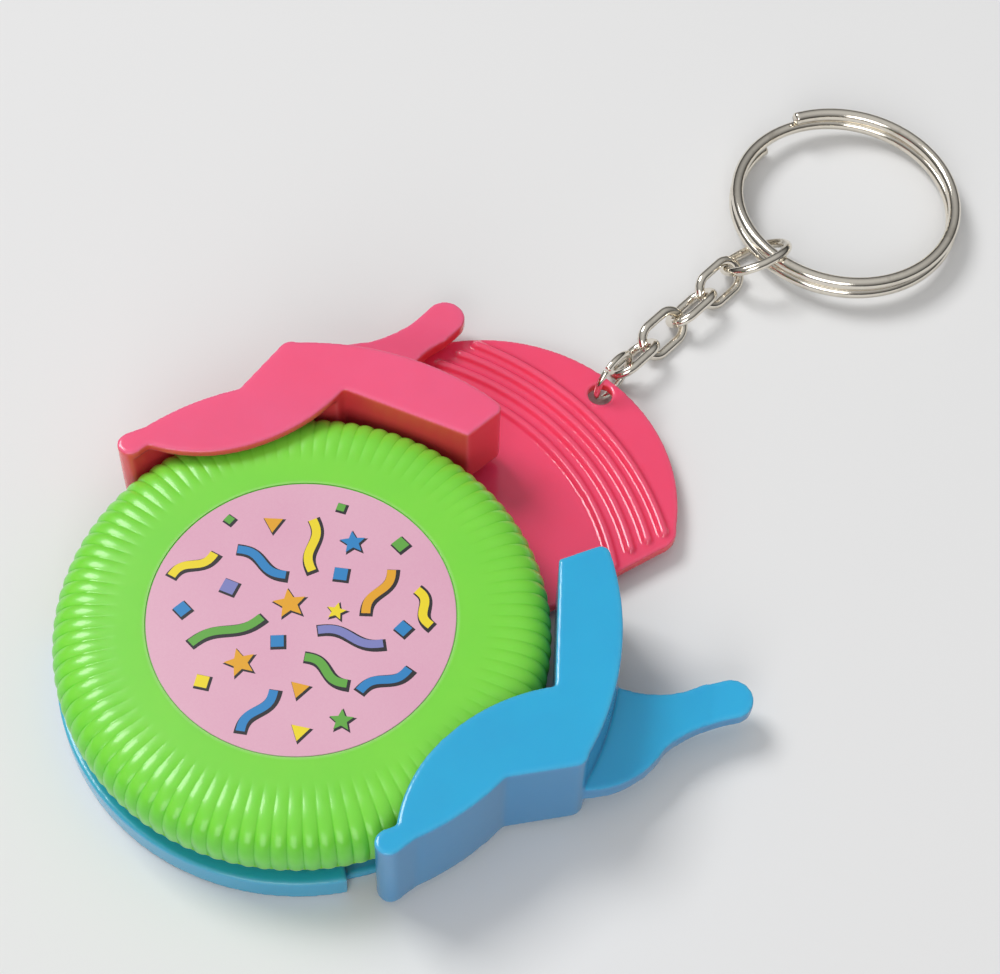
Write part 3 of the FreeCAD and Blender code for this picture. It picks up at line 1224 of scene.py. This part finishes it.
@dataclass
class Label:
    """The round label film with its confetti print.

    Args:
        print_thick: thickness of one layer of ink.
        shadow: how far each mark's black outline is shifted, in millimetres.
        outline_width: how much larger the black outline is, in millimetres.
        turn: how far the print is turned on the disc, in degrees.
        edge: bevel of the film's edge.
        middle: radius of the film's first ring of mesh.
        sides: mesh points round the film.
        film_under: how many layers of ink the film lies below its part's top.
        root: how many layers of ink each mark is deep.
    """

    print_thick: float = 0.006 * MM
    shadow: Point = (0.12, -0.14)
    outline_width: float = 0.2
    turn: float = -49.0
    edge: float = 0.05 * MM
    middle: float = 0.0005 * MM
    sides: int = 180
    film_under: int = 3
    root: int = 4

    def build_film(self) -> bpy.types.Object:
        """Make the film.

        Returns:
            The piece.
        """
        low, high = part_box("disc_label")
        top = high.z - self.film_under * self.print_thick
        radius = high.x
        profile = (
            (self.middle, top),
            (radius - self.edge, top),
            (radius, top - self.edge),
            (radius, low.z),
        )
        turns = [2 * math.pi * step / self.sides for step in range(self.sides)]
        work = bmesh.new()
        rings = [
            [
                work.verts.new((size * math.cos(turn), size * math.sin(turn), height))
                for turn in turns
            ]
            for size, height in profile
        ]
        ring_strip(work, rings, False)
        work.faces.new(rings[0])
        work.faces.new(list(reversed(rings[-1])))
        piece = new_piece("label_film", work, [material_of(LABEL_FILM)])
        smooth(piece, 30)
        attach(piece, "disc")
        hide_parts("disc_label")
        return piece

    def build_print(self) -> bpy.types.Object:
        """Make the marks: a black shape for each, with the coloured one over it.

        Returns:
            The piece.
        """
        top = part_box("disc_label")[1].z
        floor = top - self.root * self.print_thick
        inks = list(Ink)
        work = bmesh.new()
        for confetto in CONFETTI:
            x, y = confetto.at[0] * MM, confetto.at[1] * MM
            dark_x, dark_y = x + self.shadow[0] * MM, y + self.shadow[1] * MM
            dark = self._turned(confetto.outline(self.outline_width), dark_x, dark_y)
            slab(work, dark, floor, top - self.print_thick, inks.index(Ink.BLACK))
            bright = self._turned(confetto.outline(), x, y)
            slab(work, bright, floor, top, inks.index(confetto.ink))
        piece = new_piece("label_confetti", work, [material_of(ink.film()) for ink in inks])
        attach(piece, "disc")
        return piece

    def _turned(self, outline: Sequence[Point], x: float, y: float) -> list[Point]:
        """Move an outline to its place and turn it with the print.

        Args:
            outline: its corners about its own centre.
            x: its place on the label.
            y: its place on the label.

        Returns:
            The corners on the disc.
        """
        angle = math.radians(self.turn)
        cosine, sine = math.cos(angle), math.sin(angle)
        return [
            ((px + x) * cosine - (py + y) * sine, (px + x) * sine + (py + y) * cosine)
            for px, py in outline
        ]


# ---- key chain --------------------------------------------------------------


@dataclass
class OvalLink:
    """One closed oval link of round wire, with the seam where it was welded.

    Args:
        node: the link's part.
        body: what it rides on.
        length: outside length.
        width: outside width.
        roll: how far it is rolled about its long axis, in degrees.
        yaw: how far its long axis is turned, in degrees.
        wire: thickness of the wire.
    """

    node: str
    body: str
    length: float
    width: float
    roll: float
    yaw: float = 0.0
    wire: float = 1.0 * MM

    def centreline(self) -> list[Vector]:
        """Give the loop's centreline about its own centre."""
        bend = (self.width - self.wire) / 2
        run = (self.length - self.width) / 2
        arc_steps, run_steps = 28, 8
        points = []
        for sign in (1, -1):
            for step in range(arc_steps):
                turn = math.pi * step / arc_steps - math.pi / 2
                along, across = run + bend * math.cos(turn), bend * math.sin(turn)
                points.append(Vector((sign * along, sign * across, 0)))
            for step in range(run_steps):
                share = 1 - 2 * step / run_steps
                points.append(Vector((sign * run * share, sign * bend, 0)))
        return points

    def build(self) -> bpy.types.Object:
        """Make the link in its place."""
        low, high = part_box(self.node)
        place = Matrix.Translation((low + high) / 2)
        place = place @ Matrix.Rotation(math.radians(self.yaw), 4, "Z")
        place = place @ Matrix.Rotation(math.radians(self.roll), 4, "X")
        line = [place @ point for point in self.centreline()]
        wire = swept_wire(line, self.wire / 2, True)
        piece = new_piece(f"{self.node}_wire", wire, [material_of(KEY_METAL)])
        piece.data.shade_smooth()
        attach(piece, self.body)
        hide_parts(self.node)
        return piece


@dataclass
class JumpRing:
    """The small upright ring through the fan, with its butt joint.

    Args:
        radius: of the wire's centreline.
        wire: thickness of the wire.
        yaw: how far the ring is turned from the fan's axis, in degrees.
        gap: opening of the butt joint, in degrees.
        gap_at: where the joint is, in degrees round the ring.
    """

    radius: float = 2.7 * MM
    wire: float = 0.7 * MM
    yaw: float = 4.0
    gap: float = 3.0
    gap_at: float = 118.0

    def build(self) -> bpy.types.Object:
        """Make the ring in its place."""
        low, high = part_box("jump_ring")
        centre = (low + high) / 2
        yaw = math.radians(self.yaw)
        along, up = Vector((math.cos(yaw), math.sin(yaw), 0)), Vector((0, 0, 1))
        steps = 72
        line = []
        for step in range(steps + 1):
            turn = math.radians(self.gap_at + self.gap / 2 + (360 - self.gap) * step / steps)
            line.append(centre + (along * math.cos(turn) + up * math.sin(turn)) * self.radius)
        wire = swept_wire(line, self.wire / 2, False)
        piece = new_piece("jump_ring_wire", wire, [material_of(KEY_METAL)])
        smooth(piece, 50)
        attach(piece, "jump_ring")
        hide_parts("jump_ring")
        return piece


@dataclass
class SplitRing:
    """The key ring: nearly two turns of round wire, stepped where they change places.

    Args:
        radius: outer radius.
        wire: thickness of the wire.
        pitch: distance between the two turns.
        turns: number of turns.
        start: where the lower end is, in degrees.
        rise: height of the lower turn's centreline at its end.
        tilt: how far the ring is tipped, in degrees.
        centre: the ring's centre from above.
        joggle: how much the climb gathers near the ends, 0 to 1.
        steps: mesh points along the wire.
        sides: mesh points round the wire.
    """

    radius: float = 12.5 * MM
    wire: float = 1.35 * MM
    pitch: float = 1.42 * MM
    turns: float = 1.95
    start: float = 86.0
    rise: float = 0.4 * MM
    tilt: float = 2.9
    centre: Point = (79.4 * MM, -2.4 * MM)
    joggle: float = 0.6
    steps: int = 300
    sides: int = 24

    def build(self) -> bpy.types.Object:
        """Make the ring in its place."""
        mean = self.radius - self.wire / 2
        line = []
        for step in range(self.steps + 1):
            share = self.turns * step / self.steps
            turn = math.radians(self.start) + 2 * math.pi * share
            climb = share + self.joggle * math.sin(2 * math.pi * share) / (2 * math.pi)
            height = self.rise + self.pitch * climb
            line.append(Vector((mean * math.cos(turn), mean * math.sin(turn), height)))
        hinge = Vector((self.centre[0] + self.radius, 0, 0))
        tip = Matrix.Rotation(math.radians(self.tilt), 3, "Y")
        shift = Vector((*self.centre, 0))
        line = [tip @ (point + shift - hinge) + hinge for point in line]
        wire = swept_wire(line, self.wire / 2, False, self.sides)
        piece = new_piece("split_ring_wire", wire, [material_of(KEY_METAL)])
        smooth(piece, 50)
        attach(piece, "split_ring")
        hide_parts("split_ring")
        return piece


# ---- carried-over parts -----------------------------------------------------


class InnerParts:
    """The parts that keep their own shape: disc floor, pins, shaft, washer, screw, spring."""

    def dress(self, frame: dict) -> list[str]:
        """Give each its finish.


        Returns:
            The parts' names.
        """
        finishes = {
            "disc_back": GREEN_DISC,
            "fan_claw_pins": PINK_FAN,
            "base_claw_pins": BLUE_BASE,
            "pivot_shaft": SHAFT_METAL,
            "retaining_washer": SHAFT_METAL,
            "retaining_screw": SHAFT_METAL,
            "return_spring": SPRING_METAL,
        }
        for node, finish in finishes.items():
            for slot in frame["nodes"][node].material_slots:
                slot.material = material_of(finish)
        return list(finishes)


# ---- studio -----------------------------------------------------------------


@dataclass(frozen=True)
class SoftLight:
    """A square soft light aimed at the toy.

    Args:
        name: of the light.
        at: place in the table view, in metres.
        size: of its side, in metres.
        power: in watts.
    """

    name: str
    at: tuple[float, float, float]
    size: float
    power: float


LIGHTS = (
    SoftLight("key_light", (-0.75, 0.55, 1.2), 0.6, 12.0),
    SoftLight("front_light", (-0.2, -1.2, 0.75), 0.9, 7.5),
)


@dataclass
class Studio:
    """Floor, soft light and camera.

    Args:
        turn: how far the table view is turned from the toy's frame, in degrees.
        elevation: of the camera above the table.
        roll: of the camera, in degrees.
        distance: from the camera to the point it looks at.
        look_at: that point.
        lens: focal length in millimetres.
        room: the room's brightness as (height, level) pairs, from the horizon up.
        floor_half: half the floor's width, in metres.
        floor_gap: how far the floor lies below the toy.
        near: closest distance that the camera sees, in metres.
    """

    turn: float = -49.0
    elevation: float = 58.07
    roll: float = 2.58
    distance: float = 0.23980
    look_at: tuple[float, float, float] = (0.02798, 0.00063, 0.0)
    lens: float = 85.14
    room: tuple[Point, ...] = ((0.12, 0.02), (0.45, 0.24), (0.95, 0.62))
    floor_half: float = 1.5
    floor_gap: float = 0.02 * MM
    near: float = 0.01

    def turned(self, vector: Vector) -> Vector:
        """Turn a vector of the table view into the toy's frame.

        Args:
            vector: the vector.

        Returns:
            The turned vector.
        """
        return Matrix.Rotation(math.radians(self.turn), 3, "Z") @ vector

    def build(self) -> None:
        """Make the studio."""
        self._floor()
        self._world()
        for light in LIGHTS:
            self._light(light)
        self._camera()

    def _floor(self) -> None:
        """Make a wide plain floor."""
        work = bmesh.new()
        bmesh.ops.create_grid(work, x_segments=8, y_segments=8, size=self.floor_half)
        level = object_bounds()[0].z - self.floor_gap
        bmesh.ops.translate(work, verts=work.verts, vec=(0, 0, level))
        new_piece("table_top", work, [material_of(TableTop())])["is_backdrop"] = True

    def _world(self) -> None:
        """Give the room a pale ceiling and a darker horizon."""
        world = bpy.data.worlds.new("pale_room")
        world.use_nodes = True
        graph = Graph(world.node_tree)
        ways = graph.node("ShaderNodeTexCoord", {}, {}, "Generated")
        height = graph.node("ShaderNodeSeparateXYZ", {}, {"Vector": ways}, "Z")
        stops = [(place, (level,) * 3) for place, level in self.room]
        glow = graph.node("ShaderNodeValToRGB", {"stops": stops}, {"Fac": height}, "Color")
        light = graph.node("ShaderNodeBackground", {}, {"Color": glow})
        graph.add("ShaderNodeOutputWorld", {}, {"Surface": light})
        bpy.context.scene.world = world

    def _light(self, light: SoftLight) -> None:
        """Add one light.

        Args:
            light: what it is.
        """
        data = bpy.data.lights.new(light.name, "AREA")
        data.shape = "SQUARE"
        data.size = light.size
        data.energy = light.power
        lamp = bpy.data.objects.new(light.name, data)
        lamp.location = self.turned(Vector(light.at)) + Vector(self.look_at)
        aim = Vector(self.look_at) - lamp.location
        lamp.rotation_euler = aim.to_track_quat("-Z", "Y").to_euler()
        bpy.context.scene.collection.objects.link(lamp)

    def _camera(self) -> None:
        """Add the camera."""
        angle, roll = math.radians(self.elevation), math.radians(self.roll)
        right = Vector((1, 0, 0))
        up = Vector((0, math.sin(angle), math.cos(angle)))
        back = Vector((0, -math.cos(angle), math.sin(angle)))
        rolled_right = right * math.cos(roll) + up * math.sin(roll)
        rolled_up = up * math.cos(roll) - right * math.sin(roll)
        axes = [self.turned(axis) for axis in (rolled_right, rolled_up, back)]
        data = bpy.data.cameras.new("camera")
        data.lens = self.lens
        data.clip_start = self.near
        camera = bpy.data.objects.new("camera", data)
        pose = Matrix(axes).transposed().to_4x4()
        pose.translation = Vector(self.look_at) + axes[2] * self.distance
        camera.matrix_world = pose
        bpy.context.scene.collection.objects.link(camera)
        bpy.context.scene.camera = camera


def chain_links() -> list[OvalLink]:
    """Give the four small links, which lie on alternate diagonals, and the end link.

    Returns:
        The links, from the fan outwards.
    """
    links = []
    for index in range(1, 5):
        roll = -45.0 if index % 2 else 45.0
        name, body = f"chain_link_{index}", f"link_{index}"
        links.append(OvalLink(name, body, length=6.7 * MM, width=4.4 * MM, roll=roll))
    links.append(
        OvalLink("end_link", "end_link", length=8.2 * MM, width=7.4 * MM, roll=-42.0, yaw=-14.0)
    )
    return links


def mouldings() -> list[Moulding]:
    """Give the four plastic frame pieces.

    Returns:
        The mouldings.
    """
    return [
        Moulding("fan_plate", "fan_frame", Slot.PINK, PINK_FAN, rounds=5),
        Moulding("fan_claw", "fan_frame", Slot.PINK, PINK_CLAW),
        Moulding("base_plate", "base_frame", Slot.BLUE, BLUE_BASE),
        Moulding("base_claw", "base_frame", Slot.BLUE, BLUE_CLAW),
    ]


def main() -> None:
    """Build the toy's looks and the studio, and report each piece."""
    logging.basicConfig(level=logging.INFO, format="%(name)s: %(message)s")
    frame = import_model()
    label = Label()
    pieces = [moulding.build(frame) for moulding in mouldings()]
    pieces.append(RibbedDisc().build())
    pieces += [label.build_film(), label.build_print(), JumpRing().build()]
    pieces += [link.build() for link in chain_links()]
    pieces.append(SplitRing().build())
    for piece in pieces:
        mark_curvature(piece)
        LOG.info("%s: %d faces", piece.name, len(piece.data.polygons))
    for node in InnerParts().dress(frame):
        LOG.info("%s: carried over", node)
    Studio().build()
    bpy.context.scene.view_settings.view_transform = "Standard"


if __name__ == "__main__":
    main()
